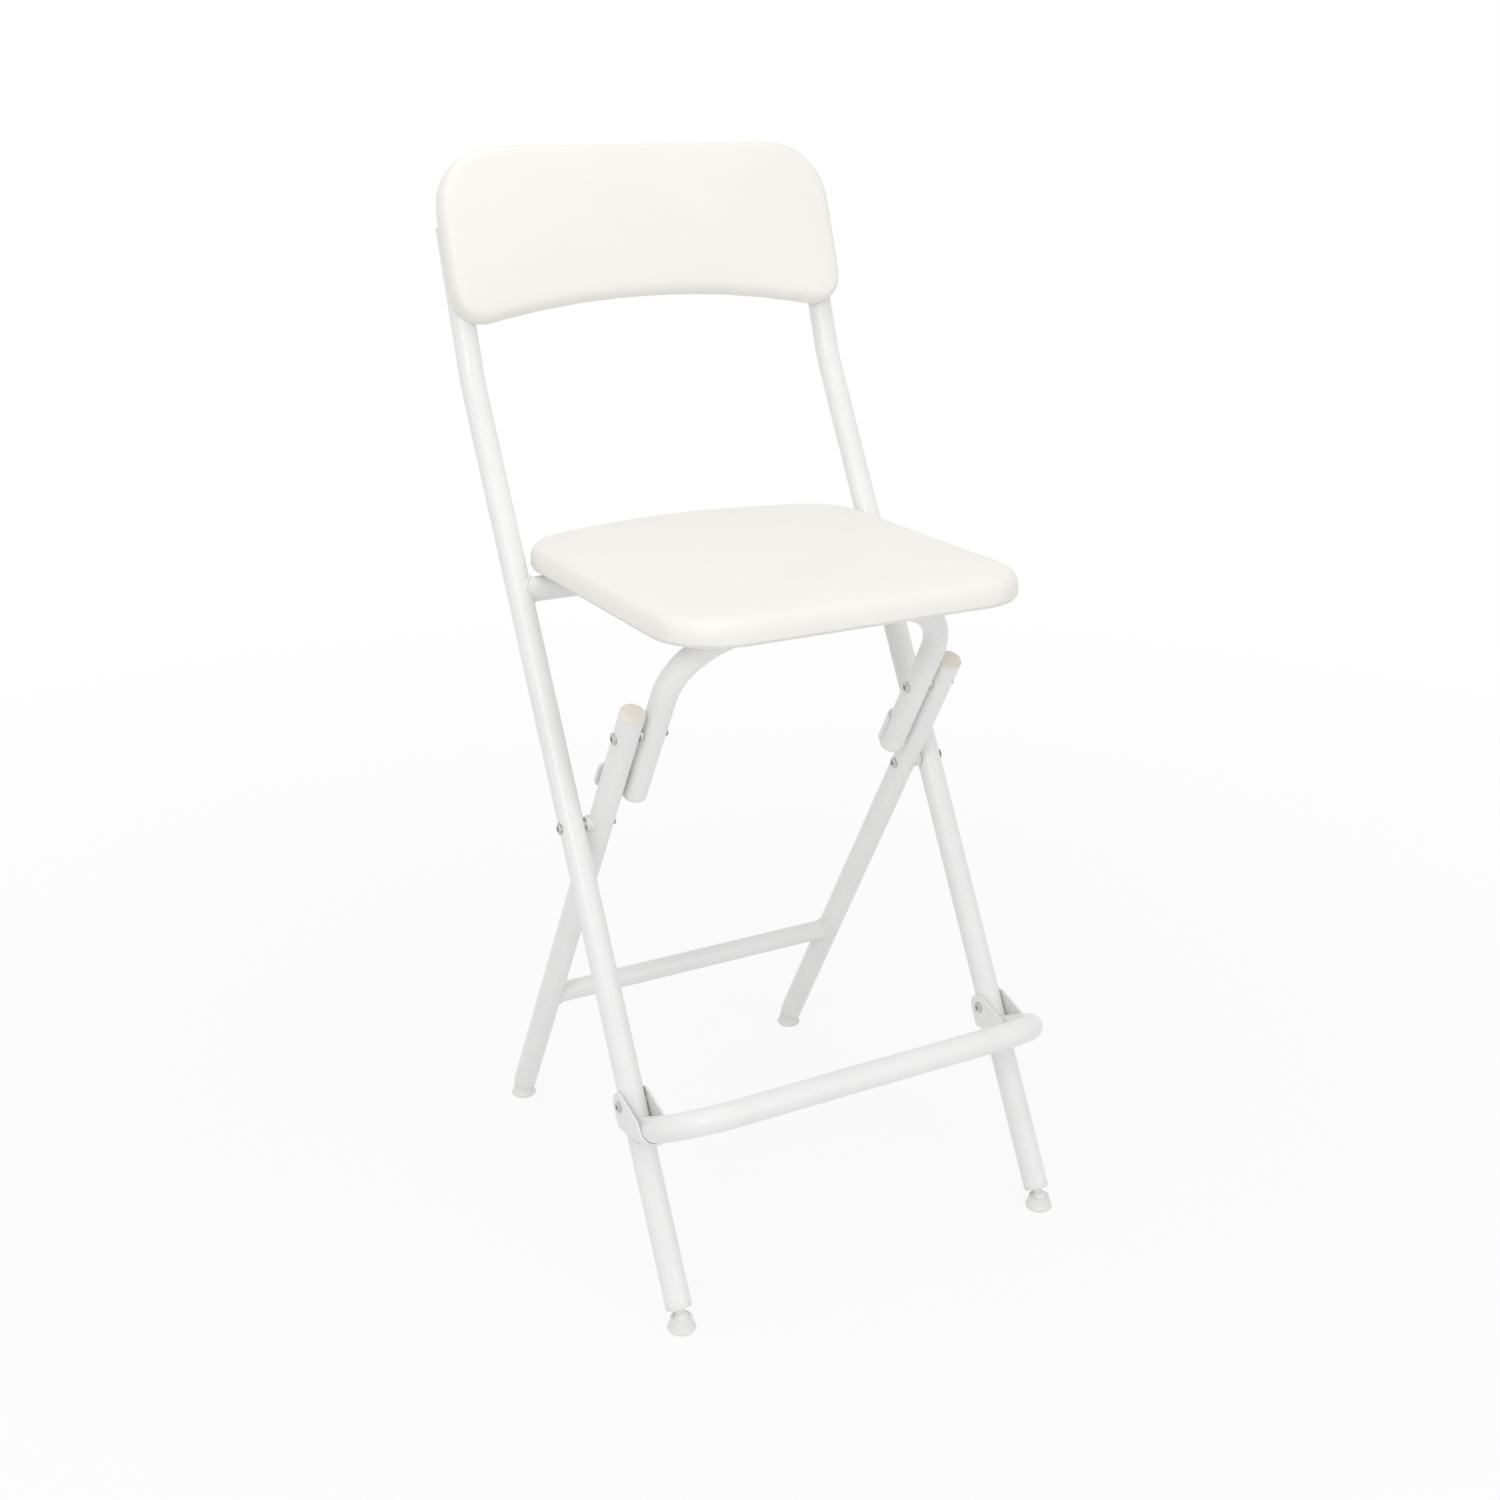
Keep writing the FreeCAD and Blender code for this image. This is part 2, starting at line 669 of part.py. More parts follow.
# Saddle brackets: one sheet bent round the tube of the footrest, its cheeks astride the long leg
def make_footrest_bracket(side, name):
    bolt_height = bolt_above_footrest - footrest_distance
    body = make_body("footrest_bracket_" + name,
                     place(crossing, lean_front, side * front_half, 0, bolt_height), lean_front)
    inner = tube_radius + sheet_gap
    outer = inner + sheet_thickness
    floor = -bolt_above_footrest - outer
    corner = bracket_eye * math.tan(math.radians(QUARTER_TURN / 4))
    slant = bracket_eye + corner
    profile = make_sketch(body, "bracket_profile", "YZ_Plane")
    add_outline(profile, [
        (bracket_eye, bracket_eye, bracket_eye - sheet_gap),
        (-corner, bracket_eye, bracket_eye - sheet_gap),
        (-bracket_nose, slant - bracket_nose, bracket_nose_radius),
        (-bracket_toe, floor, bracket_toe_radius),
        (-bracket_heel, floor, bracket_heel_radius),
        (-bracket_heel, floor + bracket_heel_height, 2 * bracket_heel_radius),
        (-bracket_waist, -bracket_waist_drop, bracket_waist_radius),
        (bracket_step, -bracket_step_drop, bracket_step_radius),
        (bracket_eye, -bracket_eye_drop, bracket_corner_radius),
    ])
    add_pad(body, profile, 2 * outer, True)
    channel = make_sketch(body, "channel", "XZ_Plane")
    add_path(channel, (-inner, 2 * bracket_eye), [
        (-inner, -bolt_above_footrest),
        (0, -bolt_above_footrest - inner, inner, -bolt_above_footrest),
        (inner, 2 * bracket_eye),
        (-inner, 2 * bracket_eye),
    ], True)
    add_pocket(body, channel)
    around = make_sketch(body, "round_bottom", "XZ_Plane")
    wide = outer + sheet_thickness
    add_path(around, (-wide, -bolt_above_footrest), [
        (-outer, -bolt_above_footrest),
        (0, floor, outer, -bolt_above_footrest),
        (wide, -bolt_above_footrest),
        (wide, floor - sheet_thickness),
        (-wide, floor - sheet_thickness),
        (-wide, -bolt_above_footrest),
    ], True)
    add_pocket(body, around)
    drill(body, [(0, 0, pivot_hole)])


for side, name in SIDES:
    make_footrest_bracket(side, name)


# Hexagon socket cut into a head, from its crown towards the shank
def add_socket(body, crown, reverse):
    sketch = make_sketch(body, "socket", "YZ_Plane", crown)
    corners = []
    for corner in range(HEXAGON):
        angle = math.radians(FULL_TURN / HEXAGON * corner)
        corners.append((socket_radius * math.cos(angle), socket_radius * math.sin(angle), 0))
    add_outline(sketch, corners)
    return add_pocket(body, sketch, socket_depth, reverse)


# Fasteners: both sides of a set share one body, mirrored about the middle of the stool
def make_bolts(label, position, lean, under_head):
    body = make_body(label, position, lean, True)
    sketch = make_sketch(body, "bolt_section", "XZ_Plane")
    crown = under_head + head_thickness
    edge = under_head + head_edge
    tail = under_head - bolt_length
    across, up = dome_middle(head_radius, head_thickness - head_edge)
    add_path(sketch, (tail, 0), [
        (tail, bolt_radius),
        (under_head, bolt_radius),
        (under_head, head_radius),
        (edge, head_radius),
        (edge + up, across, crown, 0),
        (tail, 0),
    ], True)
    bolt = add_revolution(body, sketch, "H_Axis")
    add_mirrors(body, [bolt, add_socket(body, crown, False)], ["YZ_Plane"])


def make_sleeve_nuts(label, position, lean, under_head, open_end):
    body = make_body(label, position, lean, True)
    sketch = make_sketch(body, "nut_section", "XZ_Plane")
    crown = under_head - head_thickness
    edge = under_head - head_edge
    bore = bolt_radius + thread_fit
    bore_end = open_end - bolt_length
    across, up = dome_middle(head_radius, head_thickness - head_edge)
    add_path(sketch, (crown, 0), [
        (edge - up, across, edge, head_radius),
        (under_head, head_radius),
        (under_head, sleeve_radius),
        (open_end, sleeve_radius),
        (open_end, bore),
        (bore_end, bore),
        (bore_end, 0),
        (crown, 0),
    ], True)
    nut = add_revolution(body, sketch, "H_Axis")
    add_mirrors(body, [nut, add_socket(body, crown, True)], ["YZ_Plane"])


# Bolts and sleeve nuts of a joint that clamps from an inner to an outer face
def make_joint(name, position, lean, inner_face, outer_face):
    make_bolts(name + "_bolts", position, lean, outer_face + face_gap)
    make_sleeve_nuts(name + "_nuts", position, lean, inner_face - face_gap,
                     outer_face - sleeve_end_gap)


def make_washers(label, position, lean, start, thickness):
    body = make_body(label, position, lean, True)
    sketch = make_sketch(body, "washer_section", "YZ_Plane", start)
    add_circle(sketch, 0, 0, washer_radius, "washer_radius")
    add_circle(sketch, 0, 0, pivot_hole)
    washer = add_pad(body, sketch, thickness)
    add_mirrors(body, [washer], ["YZ_Plane"])


# Flanged bushes between two tubes, hollowed on the inner side to sit round the inner tube
def make_spacers(label, position, lean, inner_half, outer_end):
    body = make_body(label, position, lean, True)
    sketch = make_sketch(body, "spacer_section", "XZ_Plane")
    start = inner_half + math.sqrt(tube_radius ** 2 - spacer_flange_radius ** 2)
    step = inner_half + tube_radius + spacer_flange
    add_path(sketch, (start, pivot_hole), [
        (start, spacer_flange_radius),
        (step, spacer_flange_radius),
        (step, spacer_radius),
        (outer_end, spacer_radius),
        (outer_end, pivot_hole),
        (start, pivot_hole),
    ], True)
    spacer = add_revolution(body, sketch, "H_Axis")
    seat = make_sketch(body, "tube_seat", "XY_Plane")
    add_circle(seat, inner_half, 0, tube_radius + face_gap)
    add_mirrors(body, [spacer, add_pocket(body, seat)], ["YZ_Plane"])


make_joint("lower_pivot", crossing, lean_front, rear_half - tube_radius, front_half + tube_radius)
washer_start = front_half - tube_radius - face_gap - washer_thickness
make_washers("lower_pivot_washers", crossing, lean_front, washer_start, washer_thickness)
make_spacers("lower_pivot_spacers", crossing, -lean_rear, rear_half, washer_start - face_gap)

make_joint("upper_pivot", toggle, -lean_rear, seat_tube_half - tube_radius, rear_half + tube_radius)
make_washers("upper_pivot_spacers", toggle, -lean_rear, seat_tube_half + tube_radius + face_gap,
             upper_joint_gap - 2 * face_gap)

footrest_axis = place(crossing, lean_front, 0, 0, bolt_above_footrest - footrest_distance)
bracket_half = tube_radius + sheet_gap + sheet_thickness
make_joint("footrest", footrest_axis, lean_front, front_half - bracket_half, front_half + bracket_half)


# Four wood screws pointing along the body's Z axis, which starts at the board's face
def make_screws(label, position, lean, half_x, half_y, grip):
    body = make_body(label, position, lean, True)
    sketch = make_sketch(body, "screw_section", "XZ_Plane", -half_y)
    axis = sketch.addGeometry(Part.LineSegment(flat(half_x, -grip), flat(half_x, screw_depth)), True)
    sketch.addConstraint(Sketcher.Constraint("Vertical", axis))
    head = -grip - screw_head_thickness
    add_path(sketch, (half_x, head), [
        (half_x + screw_flat_radius, head),
        (half_x + screw_head_radius, -grip - screw_head_edge),
        (half_x + screw_head_radius, -grip),
        (half_x + screw_radius, -grip),
        (half_x + screw_radius, screw_depth - screw_radius),
        (half_x, screw_depth),
        (half_x, head),
    ], True)
    screw = add_revolution(body, sketch, "Axis0")
    add_mirrors(body, [screw], ["YZ_Plane", "XZ_Plane"])


# Backrest: a flat board screwed to the upper ends of the long legs, with a padded cover
arch_turn = math.atan(backrest_arch_slope)
low_corner_reach = backrest_low_radius / math.tan((math.radians(QUARTER_TURN) - arch_turn) / 2)
arch_reach = backrest_half / math.cos(arch_turn) - low_corner_reach - backrest_arch_straight
arch_radius = arch_reach / backrest_arch_slope


def backrest_corners(inset):
    side = backrest_half - inset
    low = backrest_bottom_height + inset
    high = backrest_bottom_height + backrest_height - inset
    rise = backrest_arch_slope * side
    return [
        (-side, low, backrest_low_radius - inset),
        (0, low + rise, arch_radius + inset),
        (side, low, backrest_low_radius - inset),
        (side, high, backrest_top_radius - inset),
        (-side, high, backrest_top_radius - inset),
    ]


def make_backrest():
    rear_face = -tube_radius - backrest_gap
    start = place(leg_bend, lean_back, 0, rear_face, 0)
    board = make_body("backrest_board", start, lean_back)
    outline = make_sketch(board, "board_outline", "XZ_Plane")
    add_outline(outline, backrest_corners(cover_wrap + cover_fit))
    add_pad(board, outline, backrest_board_thickness, False, "sizes.backrest_board_thickness")
    holes = make_sketch(board, "screw_holes", "XZ_Plane")
    for side, name in SIDES:
        for height in upper_screws:
            add_circle(holes, side * front_half, height, screw_hole)
    add_pocket(board, holes, screw_depth + cover_fit, True)

    cover = make_body("backrest_pad", start, lean_back)
    outline = make_sketch(cover, "pad_outline", "XZ_Plane", cover_lip)
    add_outline(outline, backrest_corners(0))
    add_pad(cover, outline, backrest_thickness - cover_lip)
    fillet_far_edges(cover, FreeCAD.Vector(0, -1, 0), backrest_edge_radius)
    recess = make_sketch(cover, "board_recess", "XZ_Plane", cover_lip)
    add_outline(recess, backrest_corners(cover_wrap))
    add_pocket(cover, recess, backrest_board_thickness - cover_lip, True)

    middle = (upper_screws[0] + upper_screws[1]) / 2
    make_screws("backrest_screws", place(leg_bend, lean_back, 0, rear_face, middle),
                lean_back - QUARTER_TURN,
                front_half, (upper_screws[1] - upper_screws[0]) / 2,
                2 * tube_radius + backrest_gap + face_gap)


make_backrest()


# Seat: a board with a bowed rear edge and a padded cover, level when the stool stands open
def seat_corners(inset):
    side = seat_half - inset
    slope_inset = inset * math.sqrt(1 + seat_bow_slope ** 2)
    apex = seat_apex - slope_inset
    return [
        (-side, seat_front + inset, seat_corner_radius - inset),
        (side, seat_front + inset, seat_corner_radius - inset),
        (side, apex - seat_bow_slope * side, seat_corner_radius - inset),
        (0, apex, seat_bow_radius - inset),
        (-side, apex - seat_bow_slope * side, seat_corner_radius - inset),
    ]


def make_seat():
    start = FreeCAD.Vector(0, 0, seat_underside)
    board = make_body("seat_board", start)
    outline = make_sketch(board, "board_outline", "XY_Plane")
    add_outline(outline, seat_corners(cover_wrap + cover_fit))
    add_pad(board, outline, seat_board_thickness, False, "sizes.seat_board_thickness")
    holes = make_sketch(board, "screw_holes", "XY_Plane")
    for side, name in SIDES:
        for end in (-1, 1):
            add_circle(holes, side * clip_half_distance, seat_front_axis.y + end * clip_screw, screw_hole)
            add_circle(holes, side * saddle_half_distance, seat_rear_axis.y + end * saddle_screw,
                       screw_hole)
    add_pocket(board, holes, screw_depth + cover_fit, True)

    cover = make_body("seat_pad", start)
    outline = make_sketch(cover, "pad_outline", "XY_Plane", cover_lip)
    add_outline(outline, seat_corners(0))
    add_pad(cover, outline, seat_thickness - cover_lip)
    fillet_far_edges(cover, FreeCAD.Vector(0, 0, 1), seat_edge_radius)
    recess = make_sketch(cover, "board_recess", "XY_Plane", cover_lip)
    add_outline(recess, seat_corners(cover_wrap))
    add_pocket(cover, recess, seat_board_thickness - cover_lip, True)


make_seat()


# Front clips: straps under the seat board that turn round the seat tube
def make_front_clip(side, name):
    position = FreeCAD.Vector(side * clip_half_distance, seat_front_axis.y, seat_front_axis.z)
    body = make_body("seat_front_clip_" + name, position)
    top = tube_radius + board_over_tube
    inner = tube_radius + running_gap
    outer = inner + sheet_thickness
    low = top - sheet_thickness
    sketch = make_sketch(body, "strap_section", "YZ_Plane")
    add_path(sketch, (-clip_reach, top), [
        (-inner, top),
        (-inner, 0),
        (0, -inner, inner, 0),
        (inner, top),
        (clip_reach, top),
        (clip_reach, low),
        (outer, low),
        (outer, 0),
        (0, -outer, -outer, 0),
        (-outer, low),
        (-clip_reach, low),
        (-clip_reach, top),
    ], True)
    add_pad(body, sketch, clip_width, True, "sizes.clip_width")
    drill(body, [(0, clip_screw, screw_hole), (0, -clip_screw, screw_hole)], "XY_Plane")


# Rear saddles: blocks under the seat board that rest astride the cross tube
def make_rear_saddle(side, name):
    position = FreeCAD.Vector(side * saddle_half_distance, seat_rear_axis.y, seat_rear_axis.z)
    body = make_body("seat_rear_saddle_" + name, position)
    top = seat_underside - seat_rear_axis.z
    low = top - saddle_flange
    inner = tube_radius + running_gap
    wrap = math.radians(saddle_wrap)
    lip = inner * math.sin(wrap)
    lip_height = inner * math.cos(wrap)
    sketch = make_sketch(body, "saddle_section", "YZ_Plane")
    add_path(sketch, (-saddle_reach, top), [
        (saddle_reach, top),
        (saddle_reach, low),
        (lip + 2 * sheet_thickness, low),
        (lip + sheet_thickness, lip_height),
        (lip, lip_height),
        (0, inner, -lip, lip_height),
        (-lip - sheet_thickness, lip_height),
        (-lip - 2 * sheet_thickness, low),
        (-saddle_reach, low),
        (-saddle_reach, top),
    ], True)
    add_pad(body, sketch, saddle_width, True, "sizes.saddle_width")
    drill(body, [(0, saddle_screw, screw_hole), (0, -saddle_screw, screw_hole)], "XY_Plane")


for side, name in SIDES:
    make_front_clip(side, name)
    make_rear_saddle(side, name)

front_screws_at = FreeCAD.Vector(0, seat_front_axis.y, seat_underside)
rear_screws_at = FreeCAD.Vector(0, seat_rear_axis.y, seat_underside)
make_screws("seat_front_screws", front_screws_at, 0, clip_half_distance, clip_screw,
            sheet_thickness + face_gap)
make_screws("seat_rear_screws", rear_screws_at, 0, saddle_half_distance, saddle_screw,
            saddle_flange + face_gap)


# Check every object, then write one file per sub-part
doc.recompute()
for thing in doc.Objects:
    if "Invalid" in thing.State or "Error" in thing.State:
        raise RuntimeError("%s is not valid" % thing.Name)
os.makedirs("parts", exist_ok=True)
for body in doc.Objects:
    if body.TypeId != "PartDesign::Body":
        continue
    if body.Shape.isNull() or not body.Shape.isValid():
        raise RuntimeError("%s has no valid shape" % body.Label)
    body.Shape.exportStep("parts/%s.step" % body.Label)
    box = body.Shape.BoundBox
    print("%-26s %d solid(s) %9.0f mm3  x %7.1f %7.1f  y %7.1f %7.1f  z %7.1f %7.1f" % (
        body.Label, len(body.Shape.Solids), body.Shape.Volume,
        box.XMin, box.XMax, box.YMin, box.YMax, box.ZMin, box.ZMax))
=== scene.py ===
import json
import math

import bmesh
import bpy
from mathutils import Matrix, Vector


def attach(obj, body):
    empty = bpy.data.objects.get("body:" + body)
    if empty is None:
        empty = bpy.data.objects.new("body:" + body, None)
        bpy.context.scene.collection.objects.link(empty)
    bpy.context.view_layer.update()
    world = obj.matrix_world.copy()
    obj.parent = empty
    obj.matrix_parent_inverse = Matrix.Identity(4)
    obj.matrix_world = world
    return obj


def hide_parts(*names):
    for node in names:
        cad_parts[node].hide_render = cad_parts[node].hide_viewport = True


print("bar stool: loading the frame")
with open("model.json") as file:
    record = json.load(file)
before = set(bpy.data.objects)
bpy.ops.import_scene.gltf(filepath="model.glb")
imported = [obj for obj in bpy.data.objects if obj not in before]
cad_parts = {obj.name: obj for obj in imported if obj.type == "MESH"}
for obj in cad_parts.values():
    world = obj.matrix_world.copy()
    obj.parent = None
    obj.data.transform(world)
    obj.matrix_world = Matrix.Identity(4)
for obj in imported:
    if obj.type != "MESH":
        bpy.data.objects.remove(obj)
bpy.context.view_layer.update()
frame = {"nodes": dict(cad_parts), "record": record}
nodes = frame["nodes"]
scene = bpy.context.scene


# Finishes. Patterns read object coordinates, so they stay on their piece.
def newFinish(name):
    material = bpy.data.materials.new(name)
    material.use_nodes = True
    tree = material.node_tree
    return material, tree, tree.nodes["Principled BSDF"]


def addNode(tree, kind, **values):
    node = tree.nodes.new(kind)
    for key, value in values.items():
        setattr(node, key, value)
    return node


def setInputs(node, **values):
    for key, value in values.items():
        node.inputs[key.replace("_", " ")].default_value = value
    return node


def ownSpace(tree, stretch=(1, 1, 1)):
    place = addNode(tree, "ShaderNodeTexCoord")
    mapping = addNode(tree, "ShaderNodeMapping")
    mapping.inputs["Scale"].default_value = stretch
    tree.links.new(place.outputs["Object"], mapping.inputs["Vector"])
    return mapping.outputs["Vector"]


def addNoise(tree, vector, scale, detail=3.0, roughness=0.5):
    noise = addNode(tree, "ShaderNodeTexNoise")
    setInputs(noise, Scale=scale, Detail=detail, Roughness=roughness)
    tree.links.new(vector, noise.inputs["Vector"])
    return noise.outputs["Fac"]


def tintFrom(tree, shader, factor, dark, pale, low=0.3, high=0.7):
    ramp = addNode(tree, "ShaderNodeValToRGB")
    for element, position, colour in zip(ramp.color_ramp.elements, (low, high), (dark, pale)):
        element.position = position
        element.color = (*colour, 1)
    tree.links.new(factor, ramp.inputs["Fac"])
    tree.links.new(ramp.outputs["Color"], shader.inputs["Base Color"])


def glossFrom(tree, shader, factor, low, high):
    spread = addNode(tree, "ShaderNodeMapRange")
    setInputs(spread, To_Min=low, To_Max=high)
    tree.links.new(factor, spread.inputs["Value"])
    tree.links.new(spread.outputs["Result"], shader.inputs["Roughness"])


def bumpFrom(tree, shader, height, strength, distance, below=None):
    bump = addNode(tree, "ShaderNodeBump")
    setInputs(bump, Strength=strength, Distance=distance)
    tree.links.new(height, bump.inputs["Height"])
    if below is not None:
        tree.links.new(below, bump.inputs["Normal"])
    tree.links.new(bump.outputs["Normal"], shader.inputs["Normal"])
    return bump.outputs["Normal"]


powderCoat = {
    "dark": (0.845, 0.845, 0.84),
    "pale": (0.885, 0.885, 0.88),
    "cloudScale": 14.0,
    "peelScale": 900.0,
    "peelStrength": 0.10,
    "peelDepth": 0.0004,
    "glossScale": 60.0,
    "glossLow": 0.24,
    "glossHigh": 0.34,
    "shine": 0.4,
    "coat": 0.1,
    "coatRoughness": 0.2,
}


def makePowderCoat():
    # baked white powder: faint orange peel, a slightly uneven sheen
    material, tree, shader = newFinish("whitePowderCoat")
    vector = ownSpace(tree)
    tintFrom(tree, shader, addNoise(tree, vector, powderCoat["cloudScale"]),
             powderCoat["dark"], powderCoat["pale"])
    glossFrom(tree, shader, addNoise(tree, vector, powderCoat["glossScale"]),
              powderCoat["glossLow"], powderCoat["glossHigh"])
    bumpFrom(tree, shader, addNoise(tree, vector, powderCoat["peelScale"], 1.0),
             powderCoat["peelStrength"], powderCoat["peelDepth"])
    setInputs(shader, Specular_IOR_Level=powderCoat["shine"], Coat_Weight=powderCoat["coat"],
              Coat_Roughness=powderCoat["coatRoughness"])
    return material


leatherCloth = {
    "dark": (0.88, 0.868, 0.815),
    "pale": (0.91, 0.90, 0.855),
    "cloudScale": 9.0,
    "grainScale": 850.0,
    "grainStrength": 0.28,
    "grainDepth": 0.0003,
    "swellScale": 28.0,
    "swellStrength": 0.08,
    "swellDepth": 0.004,
    "glossScale": 120.0,
    "glossLow": 0.42,
    "glossHigh": 0.56,
}


def makeLeatherCloth():
    # coated cloth: fine pebble grain over slow unevenness of the wadding
    material, tree, shader = newFinish("ivoryLeatherCloth")
    vector = ownSpace(tree)
    tintFrom(tree, shader, addNoise(tree, vector, leatherCloth["cloudScale"], 4.0),
             leatherCloth["dark"], leatherCloth["pale"], 0.25, 0.75)
    glossFrom(tree, shader, addNoise(tree, vector, leatherCloth["glossScale"]),
              leatherCloth["glossLow"], leatherCloth["glossHigh"])
    pebble = addNode(tree, "ShaderNodeTexVoronoi", feature="SMOOTH_F1")
    setInputs(pebble, Scale=leatherCloth["grainScale"], Smoothness=0.6, Randomness=0.9)
    tree.links.new(vector, pebble.inputs["Vector"])
    swell = bumpFrom(tree, shader, addNoise(tree, vector, leatherCloth["swellScale"]),
                     leatherCloth["swellStrength"], leatherCloth["swellDepth"])
    bumpFrom(tree, shader, pebble.outputs["Distance"], leatherCloth["grainStrength"],
             leatherCloth["grainDepth"], swell)
    return material


plasticSkin = {"cloudScale": 40.0, "glossScale": 300.0, "skinScale": 1800.0, "skinStrength": 0.08,
               "skinDepth": 0.0002}


def makePlastic(name, dark, pale, glossLow, glossHigh):
    # moulded plastic: faint flow clouds, a very fine skin texture
    material, tree, shader = newFinish(name)
    vector = ownSpace(tree)
    tintFrom(tree, shader, addNoise(tree, vector, plasticSkin["cloudScale"]), dark, pale)
    glossFrom(tree, shader, addNoise(tree, vector, plasticSkin["glossScale"]), glossLow, glossHigh)
    bumpFrom(tree, shader, addNoise(tree, vector, plasticSkin["skinScale"], 2.0),
             plasticSkin["skinStrength"], plasticSkin["skinDepth"])
    return material


zincPlate = {
    "dark": (0.50, 0.50, 0.49),
    "pale": (0.66, 0.66, 0.65),
    "cloudScale": 500.0,
    "glossScale": 900.0,
    "glossLow": 0.25,
    "glossHigh": 0.4,
    "grainScale": 2500.0,
    "grainStrength": 0.15,
    "grainDepth": 0.0002,
}


def makeZincPlate():
    # bright zinc: cloudy grey metal with a fine grain
    material, tree, shader = newFinish("zincPlate")
    vector = ownSpace(tree)
    tintFrom(tree, shader, addNoise(tree, vector, zincPlate["cloudScale"]),
             zincPlate["dark"], zincPlate["pale"])
    glossFrom(tree, shader, addNoise(tree, vector, zincPlate["glossScale"]),
              zincPlate["glossLow"], zincPlate["glossHigh"])
    bumpFrom(tree, shader, addNoise(tree, vector, zincPlate["grainScale"], 2.0),
             zincPlate["grainStrength"], zincPlate["grainDepth"])
    setInputs(shader, Metallic=1.0)
    return material


paintedBoard = {
    "dark": (0.78, 0.775, 0.76),
    "pale": (0.84, 0.835, 0.82),
    "grainStretch": (1, 14, 14),
    "grainScale": 22.0,
    "grainStrength": 0.15,
    "grainDepth": 0.0006,
    "glossLow": 0.5,
    "glossHigh": 0.65,
}


def makePaintedBoard():
    # plywood under white paint: its grain shows through as long low ripples
    material, tree, shader = newFinish("whitePaintedBoard")
    vector = ownSpace(tree, paintedBoard["grainStretch"])
    grain = addNoise(tree, vector, paintedBoard["grainScale"], 6.0, 0.6)
    tintFrom(tree, shader, grain, paintedBoard["dark"], paintedBoard["pale"])
    glossFrom(tree, shader, grain, paintedBoard["glossLow"], paintedBoard["glossHigh"])
    bumpFrom(tree, shader, grain, paintedBoard["grainStrength"], paintedBoard["grainDepth"])
    return material


print("bar stool: mixing finishes")
finishes = {
    "powder_coat": makePowderCoat(),
    "cover": makeLeatherCloth(),
    # hem: painted shade, a near-black finish for the dark line where the cover rolls under the cushion's
    # edge
    "hem": makePlastic("paintedHemShade", (0.07, 0.064, 0.056), (0.12, 0.11, 0.10), 0.8, 0.95),
    "board": makePaintedBoard(),
    "cap_plastic": makePlastic("creamCapPlastic", (0.80, 0.75, 0.67), (0.85, 0.80, 0.72), 0.35, 0.5),
    "glide_plastic": makePlastic("milkyGlidePlastic", (0.80, 0.80, 0.785), (0.86, 0.86, 0.845), 0.28, 0.4),
    "saddle_plastic": makePlastic("whiteSaddlePlastic", (0.78, 0.78, 0.77), (0.84, 0.84, 0.83), 0.35, 0.5),
    "zinc": makeZincPlate(),
}
for part in frame["record"]["subparts"]:
    shown = nodes[part["node"]]
    shown.data.materials.clear()
    shown.data.materials.append(finishes[part["material_slot"]])


# Cushions. Each is worked lying on its back, face up, with its hem at height zero.
def applyModifiers(piece):
    graph = bpy.context.evaluated_depsgraph_get()
    done = bpy.data.meshes.new_from_object(piece.evaluated_get(graph))
    piece.modifiers.clear()
    piece.data = done


def bisectAt(form, height, clearBelow=False):
    cutting = bmesh.ops.bisect_plane(form, geom=form.verts[:] + form.edges[:] + form.faces[:],
                                     dist=0.00001, plane_co=(0, 0, height), plane_no=(0, 0, 1),
                                     clear_inner=clearBelow)
    return [item for item in cutting["geom_cut"] if isinstance(item, bmesh.types.BMEdge)]


def cutWadding(settings):
    # the wadding block: the CAD pad above its recess, drawn down past the hem
    form = bmesh.new()
    form.from_mesh(nodes[settings["node"]].data)
    bmesh.ops.transform(form, matrix=Matrix.Rotation(-math.radians(settings["tilt"]), 4, "X"),
                        verts=form.verts)
    bmesh.ops.remove_doubles(form, verts=form.verts, dist=0.00002)
    hem = min(vertex.co.z for vertex in form.verts)
    middle = Vector([(min(values) + max(values)) / 2 for values in
                     ([vertex.co.x for vertex in form.verts], [vertex.co.y for vertex in form.verts])])
    away = Matrix.Translation((-middle.x, -middle.y, -hem))
    bmesh.ops.transform(form, matrix=away, verts=form.verts)
    cutHeight = settings["recess"] + settings["clearRecess"]
    rim = bisectAt(form, cutHeight, True)
    filled = bmesh.ops.contextual_create(form, geom=rim)
    drawn = bmesh.ops.extrude_face_region(form, geom=filled["faces"])
    foot = [item for item in drawn["geom"] if isinstance(item, bmesh.types.BMVert)]
    bmesh.ops.translate(form, verts=foot, vec=(0, 0, -cutHeight - settings["spare"]))
    bmesh.ops.scale(form, verts=form.verts, vec=settings["sizing"])
    bmesh.ops.recalc_face_normals(form, faces=form.faces)
    mesh = bpy.data.meshes.new(settings["name"])
    form.to_mesh(mesh)
    form.free()
    cushion = bpy.data.objects.new(settings["name"], mesh)
    scene.collection.objects.link(cushion)
    back = Matrix.Rotation(math.radians(settings["tilt"]), 4, "X") @ away.inverted()
    return cushion, back


